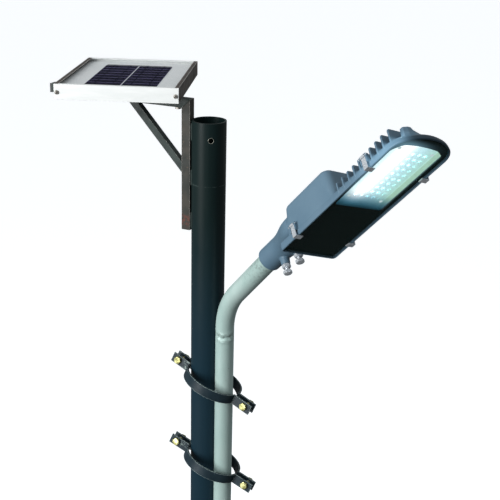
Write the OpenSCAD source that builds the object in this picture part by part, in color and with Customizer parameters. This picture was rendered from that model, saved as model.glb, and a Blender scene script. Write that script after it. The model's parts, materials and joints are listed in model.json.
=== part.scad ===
// Solar street lamp: a steel pole with a small solar panel on a welded triangular
// bracket, and a die-cast LED head on a bent arm that two bolted clamps hold to the pole.
// Origin: middle of the base plate's underside, on the pole's axis.
// +Z is up along the pole, +X is the side that the arm reaches out to.

/* [Pole and base] */
// Height of the pole's open top above the ground
pole_height = 2400; // [2200:50:3600]
// Outside diameter of the pole tube, 2 inch nominal bore
pole_od = 60.3; // [59:0.1:61]
// Wall of the pole tube
pole_wall = 2.9; // [2:0.1:4]
// Side of the square base plate
base_side = 200; // [190:5:260]
// Thickness of the base plate
base_t = 8; // [6:1:12]
// Distance between the anchor holes, along each side
anchor_pitch = 150; // [140:5:155]
// Diameter of the anchor holes
anchor_hole_d = 14; // [10:1:16]
// Diameter of the wiring hole near the pole's top
wire_hole_d = 9; // [6:1:12]

/* [Panel bracket] */
// Direction of the bracket's rail, anticlockwise from the arm
bracket_turn = 202.4; // [190:0.2:215]
// How far the bracket stands off the pole's middle line, sideways
bracket_side = 6.1; // [0:0.1:7]
// Side of the square tube of the upright and the rail
bar = 16; // [14:1:19]
// Wall of that square tube
bar_wall = 1.5; // [1:0.1:2]
// Side of the square bar of the brace
brace_bar = 12.7; // [8:0.1:13]
// Height of the bracket above the pole's top
bracket_rise = 35; // [30:1:60]
// Length of the upright below the pole's top
bracket_drop = 200; // [160:5:260]
// Distance from the pole's axis to the rail's free end
rail_reach = 311; // [300:1:360]
// Distance from the pole's axis to the brace's upper end
brace_reach = 143; // [120:1:180]
// Distance from the pole's top down to the brace's lower end
brace_drop = 87; // [60:1:120]

/* [Solar panel] */
// Width of the panel
panel_w = 210; // [200:1:230]
// Depth of the panel
panel_d = 270; // [250:1:300]
// Height of the panel's frame
panel_h = 26; // [24:1:30]
// Turn of the panel on its rail
panel_turn = 20.2; // [0:0.1:30]
// Distance of the panel's middle from the pole's axis, along the rail
panel_reach = 175.4; // [160:0.2:200]
// Distance of the panel's middle from the rail, sideways
panel_shift = -42; // [-50:1:-30]
// Number of rows of solar cells
cell_rows = 9; // [6:1:10]
// Pitch of the rows of cells
cell_pitch = 24; // [20:0.5:25]
// Width of one cell
cell_w = 61; // [50:1:64]

/* [Arm] */
// Outside diameter of the arm tube, 1 inch nominal bore
arm_od = 33.7; // [33:0.1:34]
// Wall of the arm tube
arm_wall = 2.6; // [2:0.1:3.2]
// Gap between the pole and the arm
arm_gap = 0.6; // [0.4:0.1:2]
// Elevation of the arm's upper end
arm_rise = 47.4; // [35:0.2:60]
// Distance from the pole's top down to the arm's corner
corner_drop = 328.6; // [300:1:360]
// Radius of the arm's bend
bend_r = 115; // [90:5:150]
// Distance from the arm's corner to the glass of the head
head_reach = 259.7; // [240:1:300]
// Distance from the pole's top down to the arm's lower end
arm_drop = 800; // [780:5:900]

/* [Clamps] */
// Inside diameter of a closed clamp
clamp_id = 105.4; // [105:0.2:108]
// Thickness of the clamp's steel strip
strip_t = 3; // [2:0.5:4]
// Width of the clamp's steel strip
strip_w = 18; // [15:1:18]
// Distance from the ring's middle to an ear's end
ear_reach = 93; // [86:1:100]
// Distance from the ring's middle to the clamp bolt
clamp_bolt_reach = 79; // [74:1:82]
// Gap between the two ears
ear_gap = 13.5; // [8:0.5:16]
// Diameter of the clamp bolts, M8
clamp_bolt_d = 8; // [6:1:8]
// Distance from the pole's top down to the upper clamp
upper_drop = 495; // [485:5:520]
// Distance from the pole's top down to the lower clamp
lower_drop = 667; // [640:5:680]

/* [Lamp head] */
// Length of the head's tray, from its rear edge to its front edge
tray_l = 315; // [300:5:340]
// Width of the head's tray
tray_w = 106; // [100:1:116]
// Height of the tray's plain side wall
tray_h = 14; // [12:1:16]
// Depth of the glass below the collar's axis
glass_drop = 50; // [48:1:54]
// Turn of the head about the arm, away from level
head_roll_turn = -22; // [-30:1:30]
// Skew of the head on the arm, taken up by the play in its collar
head_skew = 2; // [0:0.5:2]
// Number of cooling fins across the head
fin_count = 11; // [6:1:12]
// Height of the driver box's top above the collar's axis
box_top = 15; // [10:1:18]
// Outside diameter of the collar's open end
collar_od = 43; // [41:0.5:46]
// Length of the collar behind the glass
collar_l = 98; // [90:1:110]
// Thickness of the glass cover
glass_t = 4; // [3:0.5:4]

/* [Hidden] */

$fn = 48;
eps = 0.01;

pole_r = pole_od / 2;
arm_r = arm_od / 2;
arm_x = pole_r + arm_gap + arm_r;
corner_z = pole_height - corner_drop;
bend_angle = 90 - arm_rise;
bend_tangent = bend_r * tan(bend_angle / 2);

wire_hole_turn = -35.4;
wire_hole_drop = 29;
gusset_w = 52;
gusset_h = 90;
gusset_t = 5;
base_corner_r = 12;
base_drain_d = 48;

upright_x = pole_r + bar / 2;
rail_top = pole_height + bracket_rise;
rail_bottom = rail_top - bar;
plug_t = 3;
plug_depth = 10;
plug_fit = 0.2;

frame_t = 1.5;
lip_w = 7;
flange_w = 14;
laminate_z = panel_h - 7;
panel_glass_t = 3.2;
cell_t = 0.4;
backsheet_t = 0.5;
cell_front = 12;
cell_gap = 1;
ribbon_w = 1.6;
ribbon_t = 0.2;
port_w = 7;
port_z = 12;
port_hole_d = 3.6;
screw_d = 4;
screw_l = 14;
screw_head_d = 7.4;
panel_bolt_d = 6;

junction_w = 58;
junction_d = 46;
junction_h = 13;
junction_y = 88;
junction_wall = 2;
junction_lid_t = 2.5;
gland_d = 11;
gland_l = 14;

clamp_r = clamp_id / 2;
clamp_x = 17;
// turn of the low side, tilt, and turn of the ears, for each clamp
upper_set = [50, 23, -35];
lower_set = [56, 23, -35];
hex8 = 13;
hex6 = 10;
m8_head_h = 5.3;
m8_nut_h = 6.5;
washer_d = 16;
washer_t = 1.6;
washer_play = 0.05;

tray_floor = -glass_drop;
tray_top = tray_floor + tray_h;
deck_t = 3;
tray_corner_r = 34;
tray_rear_r = 6;
rim_w = 2.5;
glass_play = 0.5;
gasket_t = 2;
gasket_w = 6;
fin_t = 3;
fin_setback = 6;
fin_h = 13;
fin_start = 160;
fin_end = 296;
box_start = 22;
box_end = 150;
box_half_w = 52;
box_top_half_w = 49;
box_wall = 3;
box_corner_r = 12;
collar_r = collar_od / 2;
socket_play = 2;
skew_x = -52;
socket_r = arm_r + socket_play;
socket_end = -6;
wire_way_d = 14;
wire_way_l = 50;
collar_root = 12;
collar_bolt_x = [-58, -22];
collar_bolt_tip = arm_r + 0.35;
collar_bolt_end = 45;
collar_boss_d = 15;
collar_boss_end = 33;
// the boards inside the tray and the box
led_board_x = 150;
led_board_l = 132;
led_board_w = 72;
led_board_t = 1.6;
led_z = tray_top - deck_t - led_board_t;
led_columns = 10;
led_rows = 5;
control_x = 32;
control_l = 42;
control_w = 74;
control_z = -38;
control_t = 1.6;
battery_d = 18.4;
battery_l = 65;
battery_count = 3;
battery_x = 103;
battery_z = -6;

clip_x = [47, 230];
clip_w = 9;
clip_t = 1.2;
clip_pin_d = 2.4;
clip_pivot_z = -31;
clip_pivot_out = 4;
clip_foot = 9;
clip_play = 0.4;
ear_lug_t = 2.5;
lug_drop = 12;
standoff_l = 7;
boss_d = 7;
boss_l = box_top - 1.5 - (control_z + control_t + standoff_l);
strap_t = 1.2;
strap_half_w = 7;
indicator_y = -42;
room_half_w = 40;
room_l = 102;
spine_w = 18;
spine_h = 7;
front_rib_w = 12;
front_rib_h = 6;
front_rib_pitch = 20;

// ---------------------------------------------------------------- shared shapes

// A hexagon prism of a given distance across its flats
module hex_prism(across, h) {
    cylinder(h = h, d = across / cos(30), $fn = 6);
}

// A flat plate with round corners, made of exact arcs
module round_plate(l, w, r, h) {
    linear_extrude(height = h) union() {
        square([l - 2 * r, w], center = true);
        square([l, w - 2 * r], center = true);
        for (sx = [-1, 1], sy = [-1, 1])
            translate([sx * (l / 2 - r), sy * (w / 2 - r)]) circle(r = r);
    }
}

// ---------------------------------------------------------------- pole and base

module pole_tube() {
    color("#16211f") difference() {
        translate([0, 0, base_t]) cylinder(h = pole_height - base_t, r = pole_r, $fn = 96);
        translate([0, 0, base_t - 1])
            cylinder(h = pole_height + 2, r = pole_r - pole_wall, $fn = 96);
        rotate([0, 0, wire_hole_turn]) translate([0, 0, pole_height - wire_hole_drop])
            rotate([0, 90, 0]) cylinder(h = pole_od, d = wire_hole_d);
    }
}

module base_plate() {
    color("#1b2624") difference() {
        round_plate(base_side, base_side, base_corner_r, base_t);
        for (sx = [-1, 1], sy = [-1, 1])
            translate([sx * anchor_pitch / 2, sy * anchor_pitch / 2, -1])
                cylinder(h = base_t + 2, d = anchor_hole_d);
        translate([0, 0, -1]) cylinder(h = base_t + 2, d = base_drain_d);
    }
}

module base_gussets() {
    nose = 12;
    color("#1b2624") for (turn = [0, 90, 180, 270])
        rotate([0, 0, turn]) translate([pole_r, gusset_t / 2, base_t])
            rotate([90, 0, 0]) linear_extrude(height = gusset_t)
                polygon([[0, 0], [gusset_w, 0], [gusset_w, nose], [nose, gusset_h], [0, gusset_h]]);
}

// ---------------------------------------------------------------- panel bracket

module bracket_place() {
    rotate([0, 0, bracket_turn]) translate([0, bracket_side, 0]) children();
}

// A flat outline in the bracket's own plane, given width across that plane
module bracket_slice(points, width) {
    translate([0, width / 2, 0]) rotate([90, 0, 0])
        linear_extrude(height = width) polygon(points);
}

module panel_bolt_places() {
    along = [56.6, 263.3];
    bracket_place() for (x = along) translate([x, 0, rail_bottom]) children();
}

module bracket_upright() {
    lo = pole_height - bracket_drop;
    near = upright_x - bar / 2;
    far = upright_x + bar / 2;
    w = bar_wall;
    color("#39332e") bracket_place() difference() {
        bracket_slice([[near, lo], [far, lo], [far, rail_bottom], [near, rail_top]], bar);
        bracket_slice([[near + w, lo - 1], [far - w, lo - 1],
            [far - w, rail_bottom + w], [near + w, rail_top - w]], bar - 2 * w);
    }
}

module bracket_rail() {
    near = upright_x - bar / 2;
    far = upright_x + bar / 2;
    w = bar_wall;
    color("#2f3a39") difference() {
        bracket_place() difference() {
            bracket_slice([[near, rail_top], [far, rail_bottom],
                [rail_reach, rail_bottom], [rail_reach, rail_top]], bar);
            bracket_slice([[near + w, rail_top - w], [far - w, rail_bottom + w],
                [rail_reach + 1, rail_bottom + w], [rail_reach + 1, rail_top - w]], bar - 2 * w);
        }
        panel_bolt_holes();
    }
}

module bracket_brace() {
    foot_x = upright_x + bar / 2;
    foot_z = pole_height - brace_drop;
    run = brace_reach - foot_x;
    climb = rail_bottom - foot_z;
    slant = norm([run, climb]);
    half_run = brace_bar / 2 * slant / climb;
    half_climb = brace_bar / 2 * slant / run;
    color("#2f3a39") bracket_place()
        bracket_slice([[foot_x, foot_z - half_climb], [brace_reach + half_run, rail_bottom],
            [brace_reach - half_run, rail_bottom], [foot_x, foot_z + half_climb]], brace_bar);
}

module rail_end_plug() {
    inner = bar - 2 * bar_wall - 2 * plug_fit;
    color("#15181b") bracket_place() translate([rail_reach, 0, rail_top - bar / 2]) {
        translate([plug_t / 2, 0, 0]) cube([plug_t, bar, bar], center = true);
        translate([-plug_depth / 2, 0, 0]) cube([plug_depth, inner, inner], center = true);
    }
}

// ---------------------------------------------------------------- solar panel

// The panel's own frame: origin under its middle, X across its width
module panel_place() {
    bracket_place() translate([panel_reach, panel_shift, rail_top])
        rotate([0, 0, 180 + panel_turn]) children();
}

// Section of the frame: outer face on the left, one lip over the glass, one under it
module frame_section() {
    square([frame_t, panel_h]);
    square([flange_w, frame_t]);
    translate([0, panel_h - frame_t]) square([lip_w, frame_t]);
    translate([0, laminate_z - frame_t]) square([lip_w, frame_t]);
}

// The round-bored port that the corner screws bite into
module screw_port() {
    translate([frame_t, port_z - port_w / 2]) difference() {
        square([port_w, port_w]);
        translate([port_w / 2, port_w / 2]) circle(d = port_hole_d);
    }
}

module side_member() {
    l = panel_d - 2 * frame_t;
    rotate([90, 0, 0]) linear_extrude(height = l, center = true) {
        frame_section();
        screw_port();
    }
}

// A front or back member, cut back where the side members' lips end against it
module end_member() {
    difference() {
        rotate([90, 0, 90]) linear_extrude(height = panel_w, center = true) frame_section();
        for (s = [-1, 1]) translate([s * panel_w / 2, 0, 0]) {
            translate([-lip_w, frame_t, laminate_z - frame_t - eps])
                cube([2 * lip_w, panel_d, panel_h]);
            translate([-flange_w, frame_t, -1]) cube([2 * flange_w, panel_d, laminate_z - frame_t]);
            translate([-s * (frame_t + port_w / 2), -1, port_z])
                rotate([-90, 0, 0]) cylinder(h = frame_t + 2, d = screw_d + 0.4);
        }
    }
}

module panel_frame_front() {
    color("#e6ebea") panel_place() translate([0, -panel_d / 2, 0]) end_member();
}

module panel_frame_back() {
    color("#cfd4d4") panel_place() rotate([0, 0, 180]) translate([0, -panel_d / 2, 0]) end_member();
}

// The holes for the panel's two bolts, through the rail and the frame's lower flange
module panel_bolt_holes() {
    panel_bolt_places() translate([0, 0, -1]) cylinder(h = bar + 12, d = panel_bolt_d + 0.6);
}

module panel_frame_left() {
    color("#a9a8a2") difference() {
        panel_place() translate([-panel_w / 2, 0, 0]) side_member();
        panel_bolt_holes();
    }
}

module panel_frame_right() {
    color("#6b5b50") difference() {
        panel_place() rotate([0, 0, 180]) translate([-panel_w / 2, 0, 0]) side_member();
        panel_bolt_holes();
    }
}

// A sheet that fills the frame's channel
module laminate_sheet(z, t, inset) {
    play = frame_t + 0.6 + inset;
    translate([-panel_w / 2 + play, -panel_d / 2 + play, z])
        cube([panel_w - 2 * play, panel_d - 2 * play, t]);
}

module panel_backsheet() {
    color("#e9edec") panel_place() laminate_sheet(laminate_z, backsheet_t, 0);
}

module panel_glass() {
    color("#b9d4d8", 0.4) panel_place()
        laminate_sheet(laminate_z + backsheet_t + cell_t + ribbon_t, panel_glass_t, 0);
}

module solar_cells() {
    color("#141a3c") panel_place()
        for (side = [-1, 1], row = [0 : cell_rows - 1])
            translate([side * (cell_w + cell_gap * 2) / 2 - cell_w / 2,
                -panel_d / 2 + cell_front + row * cell_pitch, laminate_z + backsheet_t])
                cube([cell_w, cell_pitch - cell_gap, cell_t]);
}

module cell_ribbons() {
    z = laminate_z + backsheet_t + cell_t;
    l = cell_rows * cell_pitch - cell_gap;
    color("#d5d8dc") panel_place() {
        for (side = [-1, 1], lane = [-1, 1])
            translate([side * (cell_w + cell_gap * 2) / 2 + lane * cell_w / 4 - ribbon_w / 2,
                -panel_d / 2 + cell_front, z]) cube([ribbon_w, l + 8, ribbon_t]);
        translate([-cell_w, -panel_d / 2 + cell_front + l + 4, laminate_z + backsheet_t])
            cube([2 * cell_w, 4, cell_t + eps]);
    }
}

module junction_box() {
    color("#17181a") panel_place() translate([0, junction_y, laminate_z - junction_h])
        difference() {
            round_plate(junction_w, junction_d, 4, junction_h);
            translate([0, 0, -1])
                round_plate(junction_w - 2 * junction_wall, junction_d - 2 * junction_wall, 3,
                    junction_h - junction_wall + 1);
            translate([0, -junction_d / 2 - 1, junction_h / 2]) rotate([-90, 0, 0])
                cylinder(h = junction_wall + 2, d = gland_d - 3);
        }
}

module junction_box_lid() {
    color("#1f2022") panel_place()
        translate([0, junction_y, laminate_z - junction_h - junction_lid_t])
            round_plate(junction_w, junction_d, 4, junction_lid_t);
}

module junction_box_diode() {
    color("#0c0c0c") panel_place() translate([0, junction_y + 6, laminate_z - junction_h + 4]) {
        rotate([0, 90, 0]) cylinder(h = 9, d = 5, center = true);
        rotate([0, 90, 0]) cylinder(h = 30, d = 1.2, center = true, $fn = 24);
        for (s = [-1, 1]) translate([s * 15, 0, 1.6]) cube([5, 8, 4.4], center = true);
    }
}

module junction_box_gland() {
    color("#101112") panel_place()
        translate([0, junction_y - junction_d / 2, laminate_z - junction_h / 2])
            rotate([90, 0, 0]) difference() {
                union() {
                    cylinder(h = gland_l - 5, d = gland_d);
                    hex_prism(gland_d, 4);
                    translate([0, 0, gland_l - 5]) cylinder(h = 5, d1 = gland_d, d2 = gland_d - 3);
                    translate([0, 0, -junction_wall]) cylinder(h = 3, d = gland_d - 3.4);
                }
                translate([0, 0, -4]) cylinder(h = gland_l + 8, d = 5);
            }
}

module frame_screws() {
    reach = frame_t + port_w / 2;
    color("#9a938a") panel_place()
        for (sx = [-1, 1], turn = [0, 180])
            rotate([0, 0, turn]) translate([sx * (panel_w / 2 - reach), -panel_d / 2, port_z])
                rotate([-90, 0, 0]) {
                    cylinder(h = screw_l, d = port_hole_d - 0.2);
                    difference() {
                        translate([0, 0, -2.2]) cylinder(h = 2.2, d = screw_head_d);
                        translate([0, 0, -2.6]) cube([4.4, 1, 2], center = true);
                        translate([0, 0, -2.6]) cube([1, 4.4, 2], center = true);
                    }
                }
}

module panel_bolts() {
    color("#a9adb0") panel_bolt_places() {
        translate([0, 0, -4]) hex_prism(hex6, 4);
        cylinder(h = bar + frame_t + 8, d = panel_bolt_d);
    }
}

module panel_nuts() {
    color("#b3b7ba") panel_bolt_places() translate([0, 0, bar + frame_t]) difference() {
        hex_prism(hex6, 5);
        translate([0, 0, -1]) cylinder(h = 7, d = panel_bolt_d);
    }
}

// ---------------------------------------------------------------- arm

module tube_section() {
    difference() {
        circle(r = arm_r);
        circle(r = arm_r - arm_wall);
    }
}

// The bend is a sector of a ring, cut out between its two end planes
module arm_bend() {
    far = 2 * bend_r;
    middle = far / cos(bend_angle / 2);
    rotate([90, 0, 0]) intersection() {
        rotate_extrude($fn = 96) translate([bend_r, 0]) tube_section();
        linear_extrude(height = 3 * arm_od, center = true) polygon([[0, 0], [-far, 0],
            [-middle * cos(bend_angle / 2), middle * sin(bend_angle / 2)],
            [-far * cos(bend_angle), far * sin(bend_angle)]]);
    }
}

// Three lengths that meet end to end: the straight foot, the bend and the sloping reach
module arm_tube() {
    low = pole_height - arm_drop;
    foot_l = corner_z - bend_tangent - low;
    reach_l = head_reach + socket_end - 2 - bend_tangent;
    color("#a9b6ae") translate([arm_x, 0, 0]) {
        translate([0, 0, low]) linear_extrude(height = foot_l) tube_section($fn = 96);
        translate([bend_r, 0, corner_z - bend_tangent]) arm_bend();
        translate([0, 0, corner_z]) rotate([0, bend_angle, 0]) translate([0, 0, bend_tangent])
            linear_extrude(height = reach_l) tube_section($fn = 96);
    }
}

module arm_end_cap() {
    cap_t = 3;
    color("#1a1c1d") translate([arm_x, 0, pole_height - arm_drop]) difference() {
        union() {
            translate([0, 0, -cap_t]) cylinder(h = cap_t, r = arm_r);
            translate([0, 0, -eps]) cylinder(h = 14, r = arm_r - arm_wall - 0.1);
        }
        cylinder(h = 16, r = arm_r - arm_wall - 2);
        translate([0, 0, -cap_t - 1]) cylinder(h = cap_t + 2, d = 9);
    }
}

// ---------------------------------------------------------------- clamps

module clamp_place(drop, set) {
    translate([clamp_x, 0, pole_height - drop]) rotate([0, 0, set[0]]) rotate([0, set[1], 0])
        rotate([0, 0, set[2]]) children();
}

// One half of a clamp: a bent strip with an ear at each end, on the -Y side
module clamp_half() {
    outer = clamp_r + strip_t;
    seat = ear_gap / 2;
    ear_start = sqrt(clamp_r * clamp_r - seat * seat);
    difference() {
        union() {
            intersection() {
                difference() {
                    cylinder(h = strip_w, r = outer, center = true, $fn = 120);
                    cylinder(h = strip_w + 2, r = clamp_r, center = true, $fn = 120);
                }
                translate([-outer, -outer - seat, -strip_w]) cube([2 * outer, outer, 2 * strip_w]);
            }
            for (s = [-1, 1]) translate([s * (ear_start + ear_reach) / 2, -seat - strip_t / 2, 0])
                cube([ear_reach - ear_start, strip_t, strip_w], center = true);
        }
        for (s = [-1, 1]) translate([s * clamp_bolt_reach, 0, 0]) rotate([90, 0, 0])
            cylinder(h = outer, d = clamp_bolt_d + 0.8);
    }
}

module clamp_bolt_places() {
    for (c = [[upper_drop, upper_set], [lower_drop, lower_set]], s = [-1, 1])
        clamp_place(c[0], c[1]) translate([s * clamp_bolt_reach, 0, 0]) rotate([90, 0, 0])
            children();
}

module upper_clamp_front() {
    color("#1a2430") clamp_place(upper_drop, upper_set) clamp_half();
}

module upper_clamp_back() {
    color("#16202b") clamp_place(upper_drop, upper_set) rotate([0, 0, 180]) clamp_half();
}

module lower_clamp_front() {
    color("#1a2430") clamp_place(lower_drop, lower_set) clamp_half();
}

module lower_clamp_back() {
    color("#16202b") clamp_place(lower_drop, lower_set) rotate([0, 0, 180]) clamp_half();
}

module clamp_bolts() {
    face = ear_gap / 2 + strip_t;
    color("#c9b46a") clamp_bolt_places() {
        translate([0, 0, face]) hex_prism(hex8, m8_head_h);
        translate([0, 0, -face - 14]) cylinder(h = 2 * face + 14, d = clamp_bolt_d);
    }
}

module clamp_nuts() {
    face = ear_gap / 2 + strip_t + washer_t;
    color("#bfa95e") clamp_bolt_places() translate([0, 0, -face - m8_nut_h]) difference() {
        hex_prism(hex8, m8_nut_h);
        translate([0, 0, -1]) cylinder(h = m8_nut_h + 2, d = clamp_bolt_d);
    }
}

module clamp_washers() {
    face = ear_gap / 2 + strip_t;
    color("#c7b777") clamp_bolt_places() translate([0, 0, -face - washer_t]) difference() {
        cylinder(h = washer_t, d = washer_d);
        translate([0, 0, -1]) cylinder(h = washer_t + 2, d = clamp_bolt_d + washer_play);
    }
}

// ---------------------------------------------------------------- lamp head

// The head's own frame: X runs out along the arm from the glass's rear edge,
// Z = 0 is the collar's axis, and the glass looks down
module head_place() {
    translate([arm_x, 0, corner_z]) rotate([0, -arm_rise, 0]) translate([head_reach, 0, 0])
        rotate([head_roll_turn, 0, 0]) translate([skew_x, 0, 0]) rotate([0, 0, head_skew])
            translate([-skew_x, 0, 0]) children();
}

// Outline of the tray seen from above, grown or shrunk by g
module tray_outline(g) {
    half = tray_w / 2 + g;
    rear_r = max(tray_rear_r + g, 2);
    front_r = tray_corner_r + g;
    bulge = 6;
    union() {
        translate([rear_r - g, -half])
            square([tray_l - bulge - tray_corner_r - rear_r + g, 2 * half]);
        translate([-g, -half + rear_r]) square([rear_r, 2 * (half - rear_r)]);
        for (s = [-1, 1]) {
            translate([rear_r - g, s * (half - rear_r)]) circle(r = rear_r);
            translate([tray_l - bulge - tray_corner_r, s * (half - front_r)]) circle(r = front_r);
        }
        // the front edge bulges forward as one wide arc
        translate([tray_l - tray_corner_r - 60, 0]) intersection() {
            translate([0, -half + front_r]) square([120, 2 * (half - front_r)]);
            circle(r = tray_corner_r + 60 + g, $fn = 120);
        }
    }
}

// A slice of the driver box at a given height, with round corners
module box_slice(z, half_w, x0, x1, r) {
    translate([(x0 + x1) / 2, 0, z]) round_plate(x1 - x0, 2 * half_w, r, eps);
}

module box_solid(shrink) {
    r = box_corner_r - shrink / 2;
    hull() {
        box_slice(tray_top - 1, box_half_w - shrink,
            box_start - 2 + shrink, box_end - shrink, r, $fn = 32);
        box_slice(box_top - 5 - shrink, box_top_half_w + 1 - shrink,
            box_start + 3 + shrink, box_end - 8 - shrink, r, $fn = 32);
        box_slice(box_top - shrink, box_top_half_w - 4 - shrink,
            box_start + 8 + shrink, box_end - 13 - shrink, r - 3, $fn = 32);
    }
}

// The funnel between the round collar and the box, from a ring to the box's rear wall
module collar_funnel() {
    box_h = box_top - tray_top - 4;
    hull() {
        translate([-60, 0, 0]) rotate([0, 90, 0]) cylinder(h = 1, r = collar_r, $fn = 32);
        translate([-14, 0, -4]) rotate([0, 90, 0]) cylinder(h = 1, r = collar_r + 6, $fn = 32);
        translate([12, 0, tray_top + box_h / 2]) rotate([0, 90, 0])
            round_plate(box_h, 2 * box_half_w - 14, 12, 14, $fn = 32);
    }
}

module clip_places() {
    for (x = clip_x, s = [-1, 1]) translate([x, 0, 0]) rotate([0, 0, s > 0 ? 0 : 180]) children();
}

// Fins across the deck, a spine that ties them together, and short ribs at the front
module cooling_fins() {
    for (i = [0 : fin_count - 1]) {
        x = fin_start + i * (fin_end - fin_start) / (fin_count - 1);
        half = tray_w / 2 - (i == fin_count - 1 ? fin_setback : 0);
        translate([x - fin_t / 2, -half, tray_top - eps]) cube([fin_t, 2 * half, fin_h]);
    }
    translate([box_end - 20, -spine_w / 2, tray_top - eps])
        cube([fin_end - box_end + 20, spine_w, spine_h]);
    for (y = [-1.5, -0.5, 0.5, 1.5] * front_rib_pitch)
        translate([fin_end, y - front_rib_w / 2, tray_top - eps])
            cube([tray_l - fin_end - 9, front_rib_w, front_rib_h]);
}

// Two ears each side of a clip, which hold its pin
module clip_lugs() {
    clip_places() for (s = [-1, 1])
        translate([s * (clip_w / 2 + 0.5 + ear_lug_t / 2) - ear_lug_t / 2,
            tray_w / 2 - rim_w + 1, clip_pivot_z - lug_drop])
            cube([ear_lug_t, rim_w + clip_pivot_out + 1.5, lug_drop + 3]);
}

// The room inside the tray and the driver box, down to the seat of the glass
module head_room() {
    seat_z = tray_floor + glass_t + gasket_t;
    translate([0, 0, tray_floor - 1])
        linear_extrude(height = glass_t + gasket_t + 1) tray_outline(-rim_w);
    translate([0, 0, seat_z]) linear_extrude(height = tray_top - deck_t - seat_z)
        tray_outline(-rim_w - gasket_w);
    translate([box_start + 8, -room_half_w, seat_z])
        cube([room_l, 2 * room_half_w, tray_top + 2 - seat_z]);
    box_solid(box_wall);
}

module head_housing() {
    color("#6b8aa5") head_place() difference() {
        union() {
            difference() {
                union() {
                    translate([0, 0, tray_floor]) linear_extrude(height = tray_h) tray_outline(0);
                    cooling_fins();
                    box_solid(0);
                    collar_funnel();
                }
                head_room();
            }
            translate([-collar_l, 0, 0]) rotate([0, 90, 0])
                cylinder(h = collar_l + collar_root, r = collar_r, $fn = 72);
            for (x = collar_bolt_x) translate([x, 0, -collar_boss_end])
                cylinder(h = collar_boss_end, d = collar_boss_d);
            clip_lugs();
            standoff_places() translate([0, 0, standoff_l]) cylinder(h = boss_l, d = boss_d);
        }
        // the socket for the arm, and the way for the wires behind its stop
        translate([-collar_l - 1, 0, 0]) rotate([0, 90, 0])
            cylinder(h = collar_l + 1 + socket_end, r = socket_r, $fn = 72);
        translate([socket_end - 1, 0, 0]) rotate([0, 90, 0]) cylinder(h = wire_way_l, d = wire_way_d);
        for (x = collar_bolt_x) translate([x, 0, -collar_boss_end - 1])
            cylinder(h = collar_boss_end, d = clamp_bolt_d);
        clip_places() translate([0, tray_w / 2 + clip_pivot_out, clip_pivot_z]) rotate([0, 90, 0])
            cylinder(h = clip_w + 12, d = clip_pin_d, center = true, $fn = 24);
    }
}

module glass_gasket() {
    color("#22272a") head_place() translate([0, 0, tray_floor + glass_t]) difference() {
        linear_extrude(height = gasket_t) tray_outline(-rim_w - glass_play);
        translate([0, 0, -1]) linear_extrude(height = gasket_t + 2) tray_outline(-rim_w - gasket_w);
    }
}

module glass_cover() {
    color("#8fb3a8", 0.45) head_place() translate([0, 0, tray_floor])
        linear_extrude(height = glass_t) tray_outline(-rim_w - glass_play);
}

module led_board() {
    color("#e8ecee") head_place() translate([led_board_x + led_board_l / 2, 0, led_z])
        round_plate(led_board_l, led_board_w, 4, led_board_t);
}

// The chips stand in a grid on the board's lower face
module led_grid() {
    for (i = [0 : led_columns - 1], j = [0 : led_rows - 1])
        translate([led_board_x + 12 + i * (led_board_l - 24) / (led_columns - 1),
            (j - (led_rows - 1) / 2) * 11, led_z]) children();
}

module led_chips() {
    color("#f5f2c8") head_place() led_grid() translate([0, 0, -0.8])
        cube([3.5, 3.5, 1.6], center = true);
}

module reflector() {
    depth = 2.2;
    color("#dfe4e6") head_place() difference() {
        translate([led_board_x + led_board_l / 2, 0, led_z - depth])
            round_plate(led_board_l - 2, led_board_w - 4, 4, depth);
        led_grid() translate([0, 0, -depth - 1]) cylinder(h = depth + 2, d = 7.5, $fn = 24);
        for (sx = [6, led_board_l - 6], sy = [-1, 1])
            translate([led_board_x + sx, sy * (led_board_w / 2 - 6), led_z - depth - 1])
                cylinder(h = depth + 2, d = 6.6);
    }
}

module board_screws() {
    color("#b9bdc1") head_place()
        for (sx = [6, led_board_l - 6], sy = [-1, 1])
            translate([led_board_x + sx, sy * (led_board_w / 2 - 6), led_z - 2])
                cylinder(h = 2, d = 5.6);
}

// The controller board hangs from four bosses inside the driver box
module standoff_places() {
    for (sx = [4, control_l - 4], sy = [-1, 1])
        translate([control_x + sx, sy * (control_w / 2 - 5), control_z + control_t]) children();
}

module controller_board() {
    color("#1d5c3a") head_place() difference() {
        translate([control_x + control_l / 2, 0, control_z])
            round_plate(control_l, control_w, 3, control_t);
        standoff_places() cylinder(h = 8, d = 3.2, center = true);
    }
}

// Two capacitors, a coil, a controller chip, a heat-sunk transistor and a terminal block
// Two capacitors, then each block's place on the board and its size
capacitors = [[9, -17], [9, -5]];
capacitor_d = 10;
capacitor_l = 16;
board_blocks = [[[26, -16], [18, 18, 12]], [[11, 12], [12, 12, 6]],
    [[26, 2], [12, 12, 3]], [[34, 18], [9, 20, 8]]];

module controller_parts() {
    color("#23262a") head_place() translate([control_x, 0, control_z + control_t]) {
        for (spot = capacitors) translate(spot) cylinder(h = capacitor_l, d = capacitor_d);
        for (block = board_blocks) translate([block[0][0], block[0][1], block[1][2] / 2])
            cube(block[1], center = true);
    }
}

module board_standoffs() {
    color("#c9b46a") head_place() standoff_places() difference() {
        hex_prism(5.5, standoff_l);
        translate([0, 0, -1]) cylinder(h = standoff_l + 2, d = 2.6, $fn = 24);
    }
}

module battery_cells() {
    color("#3a6fb0") head_place() for (i = [0 : battery_count - 1])
        translate([battery_x + (i - 1) * (battery_d + 0.4), 0, battery_z]) rotate([90, 0, 0])
            cylinder(h = battery_l, d = battery_d, center = true);
}

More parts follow.
